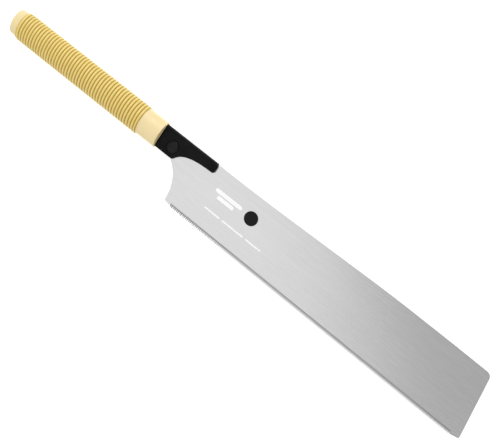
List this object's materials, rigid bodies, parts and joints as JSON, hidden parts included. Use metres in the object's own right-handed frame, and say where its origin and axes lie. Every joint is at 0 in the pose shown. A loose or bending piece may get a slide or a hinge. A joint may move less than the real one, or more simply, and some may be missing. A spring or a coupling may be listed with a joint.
{
  "type": "hand saw",
  "caption": "Pull saw with one toothed edge: a wide thin blade slides into a folded holder under a clamp screw, on an oval cane-wound handle.",
  "frame": {"origin": "centre of the saw's footprint on the surface it lies on, at that surface", "axes": "+X from the pommel towards the toe, -Y the way the teeth point, +Z square to the blade, up from the surface"},
  "size_m": [0.53, 0.0618, 0.0195],
  "materials": {
    "blade_steel": "ground spring steel, satin",
    "black_steel": "black satin coating",
    "bright_steel": "zinc plated",
    "core_wood": "unfinished pale softwood",
    "cream_plastic": "cream, fine satin",
    "cane": "pale yellow round cane, lightly varnished"
  },
  "bodies": {
    "handle": {"holder": "black_steel", "clamp_nut": "bright_steel", "tang_pins": "bright_steel", "core_upper": "core_wood", "core_lower": "core_wood", "ferrule": "cream_plastic", "pommel": "cream_plastic", "cane_wrap": "cane"},
    "washer": {"screw_washer": "bright_steel"},
    "screw": {"clamp_screw": "black_steel"},
    "blade": {"blade": "blade_steel"}
  },
  "joints": [
    {"name": "washer_lift", "type": "slide", "parent": "handle", "child": "washer", "axis": [0, 0, 1], "range_m": [0, 0.0008]},
    {"name": "screw_turn", "type": "hinge", "parent": "washer", "child": "screw", "pos_m": [-0.07139, 0.0145, 0.00975], "axis": [0, 0, 1], "range_deg": [0, 360]},
    {"name": "blade_pull", "type": "slide", "parent": "handle", "child": "blade", "axis": [1, 0, 0], "range_m": [0, 0.06]}
  ],
  "couplings": [
    {"joint": "washer_lift", "follows": "screw_turn", "m_per_rad": 0.00012732}
  ]
}
